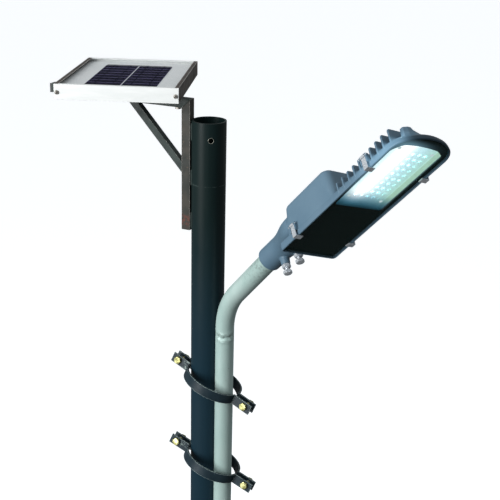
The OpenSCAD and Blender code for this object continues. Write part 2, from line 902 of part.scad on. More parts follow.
// A strap under the cells, with a leg at each end up to the box's ceiling
module battery_strap() {
    reach = battery_count * battery_d / 2 + 1.6;
    floor_z = battery_z - battery_d / 2 - strap_t;
    color("#2b2e33") head_place() translate([battery_x, 0, 0]) {
        translate([-reach, -strap_half_w, floor_z]) cube([2 * reach, 2 * strap_half_w, strap_t]);
        for (x = [-reach, reach - strap_t])
            translate([x, -strap_half_w, floor_z])
                cube([strap_t, 2 * strap_half_w, box_top - box_wall - floor_z]);
    }
}

module charge_indicator() {
    color("#d0563a") head_place() translate([115, indicator_y, tray_floor + glass_t + 1.5])
        cylinder(h = tray_h - deck_t - glass_t - 1.5, d = 4);
}

module collar_bolts() {
    color("#c8ccd0") head_place() for (x = collar_bolt_x) translate([x, 0, 0]) {
        translate([0, 0, -collar_bolt_end])
            cylinder(h = collar_bolt_end - collar_bolt_tip, d = clamp_bolt_d - 0.2);
        translate([0, 0, -collar_bolt_end - m8_head_h]) hex_prism(hex8, m8_head_h);
    }
}

module collar_nuts() {
    color("#bcc0c4") head_place() for (x = collar_bolt_x)
        translate([x, 0, -collar_boss_end - m8_nut_h]) difference() {
            hex_prism(hex8, m8_nut_h);
            translate([0, 0, -1]) cylinder(h = m8_nut_h + 2, d = clamp_bolt_d - 0.2);
        }
}

// ---------------------------------------------------------------- glass clips

// One clip: an eye on the pin, a strip down the tray's side and a foot under the glass
module clip(x, turn) {
    out = tray_w / 2 + clip_pivot_out;
    eye_d = clip_pin_d + 0.8 + 2 * clip_t;
    foot_z = tray_floor - clip_play - clip_t;
    color("#c3c7ca") head_place() translate([x, 0, 0]) rotate([0, 0, turn]) difference() {
        union() {
            translate([0, out, clip_pivot_z]) rotate([0, 90, 0])
                cylinder(h = clip_w, d = eye_d, center = true);
            translate([-clip_w / 2, out - clip_t / 2, foot_z])
                cube([clip_w, clip_t, clip_pivot_z - foot_z]);
            translate([-clip_w / 2, out - clip_foot - clip_pivot_out, foot_z])
                cube([clip_w, clip_foot + clip_pivot_out + clip_t / 2, clip_t]);
        }
        translate([0, out, clip_pivot_z]) rotate([0, 90, 0])
            cylinder(h = clip_w + 2, d = clip_pin_d + 0.8, center = true, $fn = 32);
    }
}

module clip_rear_left() {
    clip(clip_x[0], 180);
}

module clip_front_left() {
    clip(clip_x[1], 180);
}

module clip_rear_right() {
    clip(clip_x[0], 0);
}

module clip_front_right() {
    clip(clip_x[1], 0);
}

module clip_pins() {
    color("#9a9fa3") head_place() clip_places()
        translate([0, tray_w / 2 + clip_pivot_out, clip_pivot_z]) rotate([0, 90, 0]) {
            cylinder(h = clip_w + 2 * ear_lug_t + 2, d = clip_pin_d, center = true, $fn = 24);
            translate([0, 0, clip_w / 2 + ear_lug_t + 0.6]) cylinder(h = 1.2, d = 4.4, $fn = 24);
        }
}

pole_tube();
base_plate();
base_gussets();
bracket_upright();
bracket_rail();
bracket_brace();
rail_end_plug();
panel_frame_front();
panel_frame_back();
panel_frame_left();
panel_frame_right();
panel_glass();
solar_cells();
cell_ribbons();
panel_backsheet();
junction_box();
junction_box_lid();
junction_box_diode();
junction_box_gland();
frame_screws();
panel_bolts();
panel_nuts();
arm_tube();
arm_end_cap();
upper_clamp_front();
upper_clamp_back();
lower_clamp_front();
lower_clamp_back();
clamp_bolts();
clamp_nuts();
clamp_washers();
head_housing();
glass_gasket();
glass_cover();
reflector();
led_board();
led_chips();
board_screws();
controller_board();
controller_parts();
board_standoffs();
battery_cells();
battery_strap();
charge_indicator();
collar_bolts();
collar_nuts();
clip_rear_left();
clip_front_left();
clip_rear_right();
clip_front_right();
clip_pins();
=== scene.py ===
"""Looks of the solar street lamp: castings, welds, glass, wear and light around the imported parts."""
import json
import math

import bmesh
import bpy
import numpy
from mathutils import Matrix, Vector


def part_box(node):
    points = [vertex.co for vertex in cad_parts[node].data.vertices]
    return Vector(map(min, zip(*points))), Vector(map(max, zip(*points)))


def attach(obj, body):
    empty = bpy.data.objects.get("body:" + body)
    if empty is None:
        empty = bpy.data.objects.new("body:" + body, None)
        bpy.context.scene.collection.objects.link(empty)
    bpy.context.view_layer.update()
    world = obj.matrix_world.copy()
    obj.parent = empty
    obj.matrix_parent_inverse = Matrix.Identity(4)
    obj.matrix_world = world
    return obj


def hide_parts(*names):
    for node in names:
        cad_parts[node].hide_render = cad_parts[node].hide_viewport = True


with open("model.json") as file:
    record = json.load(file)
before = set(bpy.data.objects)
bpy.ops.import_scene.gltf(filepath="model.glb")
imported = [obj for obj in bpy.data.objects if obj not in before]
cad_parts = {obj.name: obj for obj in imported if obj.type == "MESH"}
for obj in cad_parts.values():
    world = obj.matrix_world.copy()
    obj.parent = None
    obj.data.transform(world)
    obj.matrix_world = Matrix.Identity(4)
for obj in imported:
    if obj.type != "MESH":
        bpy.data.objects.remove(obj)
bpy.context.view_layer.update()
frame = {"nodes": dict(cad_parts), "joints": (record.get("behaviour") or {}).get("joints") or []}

MM = 0.001
TAU = 2 * math.pi
JOINTS = {joint["name"]: joint for joint in frame["joints"]}

# ------------------------------------------------------------------ places

POLE_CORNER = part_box("pole_tube")[1]
POLE_TOP = POLE_CORNER.z
TOP_MM, POLE_R_MM = POLE_CORNER.z / MM, POLE_CORNER.x / MM

# The head's own frame: X out along the arm from the glass's rear edge, Z = 0 on the collar's axis
HEAD_ROLL = math.radians(-22)
HEAD_SKEW = math.radians(2)
SKEW_PIVOT = 52 * MM
HEAD_AXIS = Vector(JOINTS["head_roll"]["axis"]).normalized()
HEAD_ORIGIN = Vector(JOINTS["head_roll"]["pos_m"])
ARM_RISE = math.asin(HEAD_AXIS.z)
HEAD = (Matrix.Translation(HEAD_ORIGIN) @ Matrix.Rotation(-ARM_RISE, 4, "Y")
        @ Matrix.Rotation(HEAD_ROLL, 4, "X") @ Matrix.Translation((-SKEW_PIVOT, 0, 0))
        @ Matrix.Rotation(HEAD_SKEW, 4, "Z") @ Matrix.Translation((SKEW_PIVOT, 0, 0)))

# How far below the pole's top the bending tool has pinched the arm, in millimetres
CRIMP_DROP = 386

# ------------------------------------------------------------------ camera and light

CAMERA_PLACE = (1.26145, -1.11389, POLE_TOP + 0.38486)
CAMERA_FORWARD = (-0.67495, 0.65179, -0.34583)
CAMERA_ROLL = 1.396
KEY_PLACE, RIM_PLACE, LIT_PLACE = (-0.3, -3.6, 2.9), (2.6, 2.4, 3.4), (0.1, 0, 2.2)


def stand(name, data, place, forward, roll=0.0):
    """Puts a camera or a lamp in the scene, looking along a direction, with a roll in degrees."""
    obj = bpy.data.objects.new(name, data)
    bpy.context.scene.collection.objects.link(obj)
    turn = Vector(forward).to_track_quat("-Z", "Y").to_matrix().to_4x4()
    obj.matrix_world = (Matrix.Translation(place) @ turn
                        @ Matrix.Rotation(math.radians(roll), 4, "Z"))
    return obj


def make_camera():
    data = bpy.data.cameras.new("camera")
    data.lens = 72
    data.sensor_width = 36
    data.clip_end = 100
    bpy.context.scene.camera = stand("camera", data, CAMERA_PLACE, CAMERA_FORWARD, CAMERA_ROLL)


def make_area(name, place, size, power, tint=(1, 1, 1)):
    """A soft box that looks at the lit part of the lamp."""
    data = bpy.data.lights.new(name, "AREA")
    data.shape = "RECTANGLE"
    data.size, data.size_y = size
    data.energy = power
    data.color = tint
    stand(name, data, place, Vector(LIT_PLACE) - Vector(place))


def make_world():
    """An even sky, brighter above than below."""
    world = bpy.data.worlds.new("studio")
    world.use_nodes = True
    nodes, links = world.node_tree.nodes, world.node_tree.links
    split = nodes.new("ShaderNodeSeparateXYZ")
    links.new(nodes.new("ShaderNodeTexCoord").outputs["Generated"], split.inputs[0])
    level = nodes.new("ShaderNodeMapRange")
    links.new(split.outputs["Z"], level.inputs["Value"])
    for key, value in {"From Min": -0.5, "From Max": 0.7, "To Min": 0.1, "To Max": 0.46}.items():
        level.inputs[key].default_value = value
    links.new(level.outputs[0], nodes["Background"].inputs["Strength"])
    nodes["Background"].inputs["Color"].default_value = (0.93, 0.98, 1, 1)
    bpy.context.scene.world = world


def make_lights():
    bpy.context.scene.view_settings.view_transform = "Standard"
    make_area("key", KEY_PLACE, (1.3, 2.4), 150)
    make_area("rim", RIM_PLACE, (1.0, 2.0), 2, (0.92, 0.96, 1))
    sun = bpy.data.lights.new("overhead", "SUN")
    sun.energy = 0.6
    sun.angle = math.radians(40)
    stand("overhead", sun, (0, 0, 0), (0.15, 0.8, -0.7))


make_camera()
make_world()
make_lights()

# ------------------------------------------------------------------ materials


class Shade:
    """One procedural material, with short ways to add and link its nodes."""

    def __init__(self, name):
        self.material = bpy.data.materials.new(name)
        self.material.use_nodes = True
        self.tree = self.material.node_tree
        self.bsdf = self.tree.nodes["Principled BSDF"]
        self.place = self.node("ShaderNodeTexCoord").outputs["Object"]

    def node(self, kind, inputs=(), **settings):
        made = self.tree.nodes.new(kind)
        for key, value in settings.items():
            setattr(made, key, value)
        for key, value in dict(inputs).items():
            self.feed(made.inputs[key], value)
        return made

    def feed(self, socket, value):
        if isinstance(value, bpy.types.NodeSocket):
            self.tree.links.new(value, socket)
        else:
            socket.default_value = value

    def set(self, **values):
        for key, value in values.items():
            self.feed(self.bsdf.inputs[key.replace("_", " ")], value)

    def axis(self, name):
        """The object's own coordinate along one axis."""
        return self.node("ShaderNodeSeparateXYZ", {"Vector": self.place}).outputs[name]

    def stretched(self, scale):
        return self.node("ShaderNodeMapping", {"Vector": self.place, "Scale": scale}).outputs[0]

    def noise(self, scale, detail=4.0, roughness=0.55, where=None):
        inputs = {"Vector": where or self.place, "Scale": scale,
                  "Detail": detail, "Roughness": roughness}
        return self.node("ShaderNodeTexNoise", inputs).outputs[0]

    def steps(self, value, low, high, out_low=0.0, out_high=1.0):
        """Maps low..high smoothly to out_low..out_high."""
        inputs = {"Value": value, "From Min": low, "From Max": high,
                  "To Min": out_low, "To Max": out_high}
        return self.node("ShaderNodeMapRange", inputs, interpolation_type="SMOOTHSTEP").outputs[0]

    def math(self, operation, a, b=0.0):
        made = self.node("ShaderNodeMath", operation=operation)
        self.feed(made.inputs[0], a)
        self.feed(made.inputs[1], b)
        return made.outputs[0]

    def times(self, value, *factors):
        for factor in factors:
            value = self.math("MULTIPLY", value, factor)
        return value

    def bell(self, value, centre, width):
        """A smooth hump, 1 at the centre."""
        off = self.math("DIVIDE", self.math("SUBTRACT", value, centre), width)
        return self.math("POWER", math.e, self.times(off, off, -1.0))

    def mix(self, amount, a, b):
        made = self.node("ShaderNodeMix", data_type="RGBA")
        self.feed(made.inputs["Factor"], amount)
        self.feed(made.inputs[6], a if isinstance(a, bpy.types.NodeSocket) else (*a, 1))
        self.feed(made.inputs[7], b if isinstance(b, bpy.types.NodeSocket) else (*b, 1))
        return made.outputs[2]

    def round_edges(self, radius):
        return self.node("ShaderNodeBevel", {"Radius": radius}, samples=4).outputs[0]

    def edge_mask(self, radius):
        """1 on convex and concave edges, 0 on flats."""
        shading = self.node("ShaderNodeNewGeometry").outputs["Normal"]
        dot = self.node("ShaderNodeVectorMath", operation="DOT_PRODUCT")
        self.feed(dot.inputs[0], self.round_edges(radius))
        self.feed(dot.inputs[1], shading)
        return self.steps(self.math("SUBTRACT", 1.0, dot.outputs["Value"]), 0.01, 0.12)

    def bump(self, height, depth, strength, normal):
        inputs = {"Height": height, "Distance": depth, "Strength": strength, "Normal": normal}
        return self.node("ShaderNodeBump", inputs).outputs[0]


def surface(name, tones, roughness, metallic=0.0, tone_scale=18.0, grain_scale=900.0,
            grain_depth=0.00006, stretch=None, edge=0.0005, worn=None, worn_metallic=0.0,
            worn_amount=0.5, worn_radius=0.0012, specks=None, speck_level=0.68, specular=0.5):
    """A painted, plated or moulded surface: two tones, fine grain, soft edges, worn edges and specks."""
    s = Shade(name)
    where = s.stretched(stretch) if stretch else s.place
    colour = s.mix(s.steps(s.noise(tone_scale, 5, 0.6, where), 0.35, 0.68), tones[0], tones[1])
    fine = s.noise(grain_scale, 3, 0.6, where)
    colour = s.mix(s.times(s.steps(fine, 0.4, 0.75), 0.35), colour, tones[-1])
    patches = s.noise(tone_scale * 3, 4, 0.6, where)
    spread = s.steps(patches, 0.3, 0.7, roughness - 0.07, roughness + 0.09)
    shine = metallic
    if specks:
        dots = s.steps(s.noise(160, 6, 0.7), speck_level, speck_level + 0.05)
        colour = s.mix(dots, colour, specks)
    if worn:
        ragged = s.steps(s.noise(70, 6, 0.7), 0.62 - worn_amount * 0.4, 0.72 - worn_amount * 0.3)
        mask = s.times(s.edge_mask(worn_radius), ragged)
        colour = s.mix(mask, colour, worn)
        spread = s.math("ADD", spread, s.times(mask, -0.08))
        if worn_metallic:
            shine = s.math("MAXIMUM", s.times(mask, worn_metallic), metallic)
    s.set(Base_Color=colour, Roughness=spread, Metallic=shine, Specular_IOR_Level=specular,
          Normal=s.bump(fine, grain_depth, 0.8, s.round_edges(edge)))
    return s


def dress(material, *nodes):
    """Gives CAD nodes a material."""
    for node in nodes:
        mesh = frame["nodes"][node].data
        mesh.materials.clear()
        mesh.materials.append(material)


pole_paint = surface("pole_paint", [(0.004, 0.011, 0.011), (0.007, 0.017, 0.017)], 0.37,
                     tone_scale=9, stretch=(1, 1, 0.25), specks=(0.06, 0.085, 0.08),
                     speck_level=0.73, specular=0.17)
bracket_paint = surface("bracket_paint", [(0.022, 0.027, 0.024), (0.05, 0.046, 0.038)], 0.5,
                        tone_scale=30, specular=0.25, worn=(0.42, 0.4, 0.37), worn_metallic=0.6,
                        worn_amount=0.75, specks=(0.16, 0.1, 0.065), speck_level=0.66)
rail_paint = surface("rail_paint", [(0.016, 0.026, 0.024), (0.034, 0.05, 0.046)], 0.48,
                     tone_scale=26, specular=0.25, worn=(0.3, 0.31, 0.29),
                     specks=(0.12, 0.12, 0.1), speck_level=0.69)
black_plastic = surface("black_plastic", [(0.012, 0.013, 0.015), (0.022, 0.023, 0.026)], 0.5)
frame_aluminium = surface("frame_aluminium", [(0.84, 0.87, 0.86), (0.92, 0.94, 0.93)], 0.45,
                          metallic=0.1, tone_scale=14, stretch=(1, 1, 6),
                          worn=(0.55, 0.56, 0.57), worn_amount=0.35)
# The left and right members are the same aluminium as the front and back: their dark brown colour is
# painted shade, with pale worn edges.
frame_painted_shade_and_wear = surface("frame_painted_shade_and_wear", [(0.045, 0.034, 0.026), (0.1, 0.08, 0.07)], 0.5, metallic=0.2,
                     tone_scale=24, specular=0.3, worn=(0.7, 0.69, 0.66), worn_amount=0.9,
                     worn_radius=0.002, specks=(0.05, 0.035, 0.03))
cell_blue = surface("cell_blue", [(0.002, 0.002, 0.009), (0.004, 0.003, 0.018)], 0.55,
                    tone_scale=60, specular=0.0, edge=0.0001, worn=(0.16, 0.14, 0.34),
                    worn_amount=1.5, worn_radius=0.0011)
ribbon_tin = surface("ribbon_tin", [(0.005, 0.005, 0.016), (0.009, 0.009, 0.026)], 0.5, specular=0.0)
back_film = surface("back_film", [(0.9, 0.93, 0.94), (0.95, 0.97, 0.98)], 0.6,
                    tone_scale=12, specular=0.2)
dark_parts = surface("dark_parts", [(0.02, 0.022, 0.025), (0.05, 0.052, 0.056)], 0.45)
dull_screw = surface("dull_screw", [(0.2, 0.19, 0.17), (0.36, 0.34, 0.31)], 0.38, metallic=0.6,
                     specks=(0.16, 0.1, 0.06), speck_level=0.66)
arm_coat = surface("arm_coat", [(0.36, 0.5, 0.47), (0.47, 0.6, 0.57)], 0.42, metallic=0.15,
                   tone_scale=16, stretch=(1, 1, 0.35), specks=(0.26, 0.36, 0.32),
                   speck_level=0.66)
clamp_paint = surface("clamp_paint", [(0.009, 0.02, 0.028), (0.018, 0.034, 0.045)], 0.42,
                      tone_scale=30, specular=0.25, worn=(0.4, 0.5, 0.48), worn_amount=0.8,
                      specks=(0.16, 0.19, 0.2), speck_level=0.69)
yellow_zinc = surface("yellow_zinc", [(0.34, 0.33, 0.12), (0.5, 0.49, 0.25)], 0.32,
                      metallic=0.6, tone_scale=90, specks=(0.3, 0.24, 0.1))
cast_coat = surface("cast_coat", [(0.088, 0.155, 0.215), (0.108, 0.182, 0.245)], 0.42,
                    tone_scale=10, grain_scale=1300, grain_depth=0.0001,
                    specks=(0.22, 0.32, 0.4), speck_level=0.75, specular=0.4)
seal_rubber = surface("seal_rubber", [(0.018, 0.02, 0.022), (0.03, 0.032, 0.035)], 0.65)
board_white = surface("board_white", [(0.78, 0.8, 0.81), (0.86, 0.88, 0.89)], 0.4)
board_green = surface("board_green", [(0.012, 0.08, 0.04), (0.02, 0.11, 0.06)], 0.35, tone_scale=200)
cell_wrap = surface("cell_wrap", [(0.02, 0.11, 0.3), (0.03, 0.15, 0.38)], 0.3)
stainless = surface("stainless", [(0.6, 0.65, 0.7), (0.78, 0.82, 0.86)], 0.24, metallic=0.6,
                    tone_scale=80, stretch=(1, 1, 3))

DRESS = {
    pole_paint: ["pole_tube", "base_plate", "base_gussets"],
    bracket_paint: ["bracket_upright"],
    rail_paint: ["bracket_rail", "bracket_brace"],
    black_plastic: ["rail_end_plug", "arm_end_cap", "junction_box", "junction_box_lid",
                    "junction_box_gland"],
    frame_aluminium: ["panel_frame_front", "panel_frame_back"],
    frame_painted_shade_and_wear: ["panel_frame_left", "panel_frame_right"],
    cell_blue: ["solar_cells"],
    ribbon_tin: ["cell_ribbons"],
    back_film: ["panel_backsheet"],
    dark_parts: ["junction_box_diode", "controller_parts"],
    dull_screw: ["frame_screws", "panel_bolts", "panel_nuts"],
    arm_coat: ["arm_tube"],
    clamp_paint: ["upper_clamp_front", "upper_clamp_back", "lower_clamp_front", "lower_clamp_back"],
    yellow_zinc: ["clamp_bolts", "clamp_nuts", "clamp_washers", "board_standoffs"],
    seal_rubber: ["glass_gasket", "battery_strap"],
    board_white: ["led_board"],
    board_green: ["controller_board"],
    cell_wrap: ["battery_cells"],
    stainless: ["collar_bolts", "collar_nuts", "clip_rear_left", "clip_front_left",
                "clip_rear_right", "clip_front_right", "clip_pins"],
}


def make_clear_glass(name, tint, see_through):
    """Thin glass: mostly see-through, with a glossy skin."""
    s = Shade(name)
    s.set(Base_Color=(*tint, 1), Roughness=0.04, Alpha=1 - see_through, Specular_IOR_Level=0.3)
    return s.material


def make_glow(name, colour, strength):
    s = Shade(name)
    s.set(Base_Color=(*colour, 1), Roughness=0.4,
          Emission_Color=(*colour, 1), Emission_Strength=strength)
    return s.material


def in_head(s):
    """The head's own coordinates on a surface, by axis."""
    turned = s.node("ShaderNodeMapping", {"Vector": s.place}, vector_type="TEXTURE")
    turned.inputs["Location"].default_value = HEAD.to_translation()
    turned.inputs["Rotation"].default_value = HEAD.to_euler()
    return s.node("ShaderNodeSeparateXYZ", {"Vector": turned.outputs[0]}).outputs


def overlay(s, mask, colour):
    """Lays a second colour over a surface's own."""
    under = s.bsdf.inputs["Base Color"].links[0].from_socket
    s.set(Base_Color=s.mix(mask, under, colour))


def near_level(s, axis, place, reach, ragged):
    """1 at a level along an axis, falling to 0 at a reach on either side, with a ragged limit."""
    wander = s.times(s.math("SUBTRACT", s.noise(90, 5, 0.7), 0.5), ragged)
    off = s.math("ABSOLUTE", s.math("SUBTRACT", s.math("ADD", s.axis(axis), wander), place))
    return s.steps(off, 0.0, reach, 1.0, 0.0)


def mark(s, level, grain, strength, colour):
    """Lays broken patches of a colour at one level: grain is a noise's settings and its two steps."""
    scale, detail, roughness, low, high = grain
    broken = s.steps(s.noise(scale, detail, roughness), low, high)
    overlay(s, s.times(near_level(s, *level), broken, strength), colour)


def age_paints():
    """Marks that belong to one place: the pole's lap line and bluer foot, rust, rubbed paint."""
    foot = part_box("bracket_upright")[0].z
    bluer = pole_paint.steps(pole_paint.axis("Z"), POLE_TOP - 0.5, POLE_TOP - 0.12, 0.9, 0.0)
    overlay(pole_paint, bluer, (0.009, 0.027, 0.042))
    mark(pole_paint, ("Z", POLE_TOP - 0.111, 0.0011, 0.0006), (60, 5, 0.7, 0.4, 0.6),
         0.6, (0.09, 0.12, 0.115))
    mark(bracket_paint, ("Z", foot + 0.016, 0.02, 0.02), (150, 5, 0.7, 0.42, 0.6),
         0.8, (0.16, 0.045, 0.03))
    mark(arm_coat, ("Z", POLE_TOP - 0.2, 0.075, 0.05), (210, 6, 0.75, 0.5, 0.58),
         0.7, (0.16, 0.2, 0.19))
    mark(arm_coat, ("Z", POLE_TOP - CRIMP_DROP * MM, 0.016, 0.012), (260, 6, 0.75, 0.5, 0.6),
         0.7, (0.14, 0.17, 0.15))
    mark(clamp_paint, ("X", -0.033, 0.012, 0.02), (120, 6, 0.75, 0.5, 0.58),
         0.8, (0.3, 0.38, 0.35))


def paint_rim_shade_and_glow():
    """Painted shade on the casting's front rim, and a painted glow where the lit row's light spills on
    it.
    """
    s = cast_coat
    spot = in_head(s)
    # Painted shade: the front rim under the deck is darkened.
    rim = s.times(s.steps(spot["Z"], -0.045, -0.037, 1.0, 0.0), s.steps(spot["X"], 0.265, 0.31))
    overlay(s, s.times(rim, 0.9), (0.004, 0.02, 0.035))
    # Painted light: the rim beside the lit row glows.
    painted_spill_glow = s.times(s.steps(spot["Z"], -0.043, -0.03, 1.0, 0.0),
                    s.steps(spot["Y"], -0.03, -0.005, 1.0, 0.0),
                    s.steps(spot["X"], 0.17, 0.27), s.steps(spot["X"], 0.293, 0.309, 1.0, 0.0))
    s.set(Emission_Color=(0.36, 0.68, 0.95, 1), Emission_Strength=s.times(painted_spill_glow, 0.3))


for shade, nodes in DRESS.items():
    dress(shade.material, *nodes)
dress(make_clear_glass("panel_clear", (0.02, 0.03, 0.035), 0.95), "panel_glass")
dress(make_glow("led_glow", (1.0, 1.0, 0.98), 1.0), "led_chips")
# Painted light: the board's screws glow as if lit by the LEDs.
dress(make_glow("screws_painted_lit", (0.8, 0.98, 1.0), 0.85), "board_screws")
dress(make_glow("indicator_red", (0.8, 0.12, 0.05), 0.6), "charge_indicator")
age_paints()
paint_rim_shade_and_glow()

# ------------------------------------------------------------------ stage

FLOOR_SIZE, BACKDROP_R = 60, 38
PALE_SKY = (0.95, 0.97, 1)


def set_stage(name, hidden_from, **values):
    """Makes the last added object a pale, self-lit part of the stage that some rays pass."""
    obj = bpy.context.object
    obj.name = name
    for rays in hidden_from:
        setattr(obj, "visible_" + rays, False)
    shade = Shade(name + "_white")
    shade.set(Emission_Color=(*PALE_SKY, 1), **values)
    obj.data.materials.append(shade.material)


def make_stage():
    """The floor and the far backdrop, set so that they don't light the lamp or mirror in it."""
    bpy.ops.mesh.primitive_plane_add(size=FLOOR_SIZE, location=(0, 0, 0))
    set_stage("floor", ("diffuse", "glossy"),
              Base_Color=(0.93, 0.93, 0.93, 1), Roughness=0.9, Emission_Strength=0.5)
    bpy.ops.mesh.primitive_uv_sphere_add(segments=48, ring_count=24, radius=BACKDROP_R)
    set_stage("backdrop", ("diffuse", "glossy", "transmission", "shadow"),
              Base_Color=(0, 0, 0, 1), Specular_IOR_Level=0, Emission_Strength=0.95)


make_stage()

# ------------------------------------------------------------------ mesh helpers


def ring_arc(cx, cy, r, start, end, count):
    """Points of an arc in a plane, from one angle to another in degrees."""
    turns = [math.radians(start + (end - start) * i / (count - 1)) for i in range(count)]
    return [(cx + r * math.cos(t), cy + r * math.sin(t)) for t in turns]


def skin(bm, rings, loop=False):
    """Joins rings of equally many points into one closed skin, capped or looped round."""
    rows = [[bm.verts.new(point) for point in ring] for ring in rings]
    count = len(rows[0])
    for a, b in zip(rows, rows[1:] + ([rows[0]] if loop else [])):
        for i in range(count):
            bm.faces.new((a[i], a[(i + 1) % count], b[(i + 1) % count], b[i]))
    if not loop:
        bm.faces.new(rows[0][::-1])
        bm.faces.new(rows[-1])


def circle_ring(centre, axis, r, count=48):
    """A ring around a centre, square to an axis."""
    axis = Vector(axis).normalized()
    side = axis.orthogonal().normalized()
    up = axis.cross(side)
    return [Vector(centre) + r * (math.cos(TAU * i / count) * side + math.sin(TAU * i / count) * up)
            for i in range(count)]


def rod(bm, a, b, r, r_end=None):
    axis = Vector(b) - Vector(a)
    skin(bm, [circle_ring(a, axis, r), circle_ring(b, axis, r if r_end is None else r_end)])


def lift(outline, z):
    return [(x, y, z) for x, y in outline]


def slab(bm, outline, low, high):
    """An upright prism over a flat outline."""
    skin(bm, [lift(outline, low), lift(outline, high)])


def block(bm, low, high):
    (x0, y0, z0), (x1, y1, z1) = low, high
    slab(bm, [(x0, y0), (x1, y0), (x1, y1), (x0, y1)], z0, z1)


def make_object(name, bm, place=Matrix.Identity(4)):
    """A mesh object from a bmesh in millimetres, set at a place in the lamp's frame."""
    bmesh.ops.recalc_face_normals(bm, faces=bm.faces)
    bmesh.ops.scale(bm, vec=(MM, MM, MM), verts=bm.verts)
    mesh = bpy.data.meshes.new(name)
    bm.to_mesh(mesh)
    bm.free()
    obj = bpy.data.objects.new(name, mesh)
    bpy.context.scene.collection.objects.link(obj)
    obj.matrix_world = place
    return obj


def settle(obj):
    """Applies the object's modifiers."""
    bpy.context.view_layer.update()
    shape = bpy.data.meshes.new_from_object(obj.evaluated_get(bpy.context.evaluated_depsgraph_get()))
    obj.modifiers.clear()
    obj.data = shape


def cut(obj, bm):
    """Takes a solid in millimetres away from an object that stands at the same place."""
    knife = make_object("knife", bm, obj.matrix_world)
    step = obj.modifiers.new("cut", "BOOLEAN")
    step.object = knife
    step.operation = "DIFFERENCE"
    step.solver = "MANIFOLD"
    settle(obj)
    bpy.data.objects.remove(knife)


def finish_piece(obj, shade, body, nodes=(), angle=35):
    """Smooths a piece, gives it its material, joins it to its body, and hides the CAD nodes that it
    stands in for.
    """
    obj.data.transform(obj.matrix_world)
    obj.matrix_world = Matrix.Identity(4)
    obj.data.shade_smooth()
    obj.data.set_sharp_from_angle(angle=math.radians(angle))
    obj.data.materials.clear()
    obj.data.materials.append(shade)
    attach(obj, body)
    if nodes:
        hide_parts(*nodes)


# ------------------------------------------------------------------ the head's casting

TRAY = {"half": 53, "rear_r": 6, "front_r": 34, "front_x": 275, "bulge_r": 67, "bulge_x": 248}
GLASS_Z, SEAT_Z, DECK_Z = -50, -44, -36
COLLAR_R, SOCKET_R, COLLAR_END = 21.5, 18.85, -98
SOCKET_FLOOR, WIRE_WAY_R = -6, 7
COLLAR_BOLTS, COLLAR_BOLT_R = (-58, -22), 4
CLIP_X, LUG_OFFSET, LUG_HALF = (47, 230), 6.25, 1.25
FIN_COUNT, FIN_START, FIN_PITCH = 10, 160, 13.6
MELT_VOXEL, KEPT_FACES = 0.0009, 0.4


def tray_outline(inset, slope=0.0):
    """The tray from above, shrunk by inset, with its front drawn in by slope."""
    t = TRAY
    meet = math.degrees(math.atan2(t["half"] - t["front_r"], t["front_x"] - t["bulge_x"]))
    side = t["half"] - t["front_r"]
    rear = t["half"] - t["rear_r"]
    front_r = t["front_r"] - inset
    rear_r = max(t["rear_r"] - inset, 1.5)
    points = (ring_arc(inset + rear_r, -rear - t["rear_r"] + inset + rear_r, rear_r, 180, 270, 6)
              + ring_arc(t["front_x"], -side, front_r, -90, -meet, 12)
              + ring_arc(t["bulge_x"], 0, t["bulge_r"] - inset, -meet, meet, 16)[1:-1]
              + ring_arc(t["front_x"], side, front_r, meet, 90, 12)
              + ring_arc(inset + rear_r, rear + t["rear_r"] - inset - rear_r, rear_r, 90, 180, 6))
    drawn = []
    for x, y in points:
        share = min(max((x - 240) / 60, 0), 1)
        pull = slope * share * share * (3 - 2 * share)
        away = Vector((x - t["bulge_x"], y)).normalized()
        drawn.append((x - pull * away.x, y - pull * away.y))
    return drawn


def box_ring(z, half, x0, x1, r):
    """A level ring with four round corners."""
    corners = ((x1 - r, half - r, 0), (x0 + r, half - r, 90),
               (x0 + r, r - half, 180), (x1 - r, r - half, 270))
    return [point for cx, cy, start in corners
            for point in lift(ring_arc(cx, cy, r, start, start + 90, 7), z)]


def squircle_ring(x, half_w, half_h, centre_z, power, count=64):
    """An upright ring across the head that runs from round (power 2) to square."""
    ring = []
    for i in range(count):
        c, s = math.cos(TAU * i / count), math.sin(TAU * i / count)
        ring.append((x, half_w * math.copysign(abs(c) ** (2 / power), c),
                     centre_z + half_h * math.copysign(abs(s) ** (2 / power), s)))
    return ring


def add_tray(bm):
    profile = [(GLASS_Z, 0.7, 0), (-49.2, 0, 0), (-44, 0, 0.8),
               (-40, 0.3, 3.5), (-37.2, 0.8, 6.5), (DECK_Z, 2, 8)]
    skin(bm, [lift(tray_outline(inset, slope), z) for z, inset, slope in profile])


def add_driver_box(bm):
    """Drafted walls, then five rings that round them over into the top."""
    rings = [box_ring(-42, 51.5, 21, 149, 9), box_ring(-20, 51.2, 22, 146, 11),
             box_ring(8, 50, 25, 141, 13)]
    for step in range(1, 6):
        t = math.radians(18 * step)
        inset = 7 * (1 - math.cos(t))
        rings.append(box_ring(8 + 7 * math.sin(t), 50 - inset, 25 + inset, 141 - inset, 13 - inset / 2))
    skin(bm, rings)


def add_funnel(bm):
    """The collar, which widens and squares into the box, and rods that close it over the socket."""
    rings = [squircle_ring(COLLAR_END, 20.6, 20.6, 0, 2),
             squircle_ring(COLLAR_END + 0.8, COLLAR_R, COLLAR_R, 0, 2)]
    for step in range(15):
        share = step / 14
        ease = share * share * (3 - 2 * share)
        rings.append(squircle_ring(-62 + 88 * share, COLLAR_R + 29 * ease, COLLAR_R - 0.5 * ease,
                                   -16 * ease, 2 + 1.3 * ease))
    skin(bm, rings)
    rod(bm, (COLLAR_END + 2, 0, 0), (8, 0, 0), COLLAR_R)
    rod(bm, (8, 0, 0), (27, 0, 0), COLLAR_R, 11)


